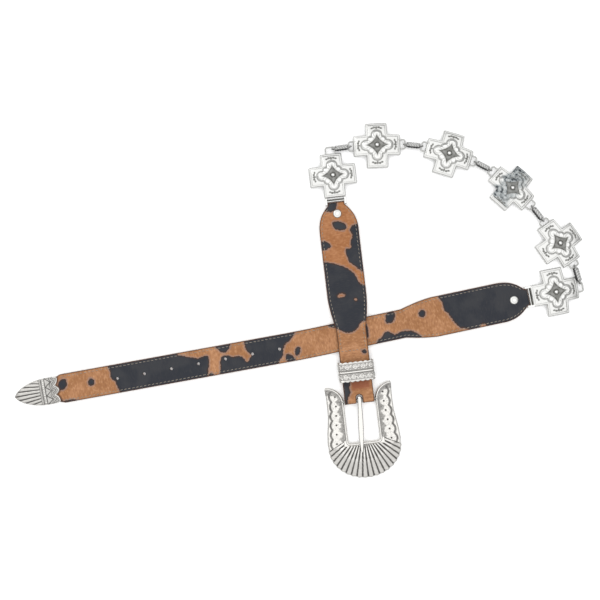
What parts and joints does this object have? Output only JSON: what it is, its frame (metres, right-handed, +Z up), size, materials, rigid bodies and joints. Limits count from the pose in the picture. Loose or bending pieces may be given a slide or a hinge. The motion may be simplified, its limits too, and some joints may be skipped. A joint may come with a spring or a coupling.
{
  "type": "concho belt",
  "caption": "Concho belt laid out flat: printed leather straps joined by a chain of cast crosses, with a tip cap, a keeper and a broad fan-ended buckle.",
  "frame": {"origin": "middle of the laid-out belt's footprint, on the surface that it lies on", "axes": "+X along the belt's longest side, +Y across it towards the chain's arch, +Z up from the surface"},
  "size_m": [0.5258, 0.3292, 0.0125],
  "materials": {
    "leather": "printed hide, burnished edges",
    "silver": "antiqued silver plate"
  },
  "bodies": {
    "belt": {"strap_long": "leather", "tip_cap": "silver", "rivet_long": "silver", "concho_1": "silver", "concho_2": "silver", "concho_3": "silver", "concho_4": "silver", "concho_5": "silver", "concho_6": "silver", "link_1": "silver", "link_2": "silver", "link_3": "silver", "link_4": "silver", "link_5": "silver", "strap_short": "leather", "rivet_short": "silver"},
    "keeper": {"keeper": "silver"},
    "buckle": {"buckle_frame": "silver"},
    "prong": {"prong": "silver"}
  },
  "joints": [
    {"name": "buckle_swing", "type": "hinge", "parent": "belt", "child": "buckle", "pos_m": [0.05544, -0.09272, 0.0029], "axis": [-0.993, -0.1184, 0], "range_deg": [0, 45]},
    {"name": "prong_pivot", "type": "hinge", "parent": "buckle", "child": "prong", "pos_m": [0.05544, -0.09272, 0.0029], "axis": [-0.993, -0.1184, 0], "range_deg": [0, 70]},
    {"name": "keeper_slide", "type": "slide", "parent": "belt", "child": "keeper", "axis": [0.1184, -0.993, 0], "range_m": [-0.006, 0.003]}
  ]
}
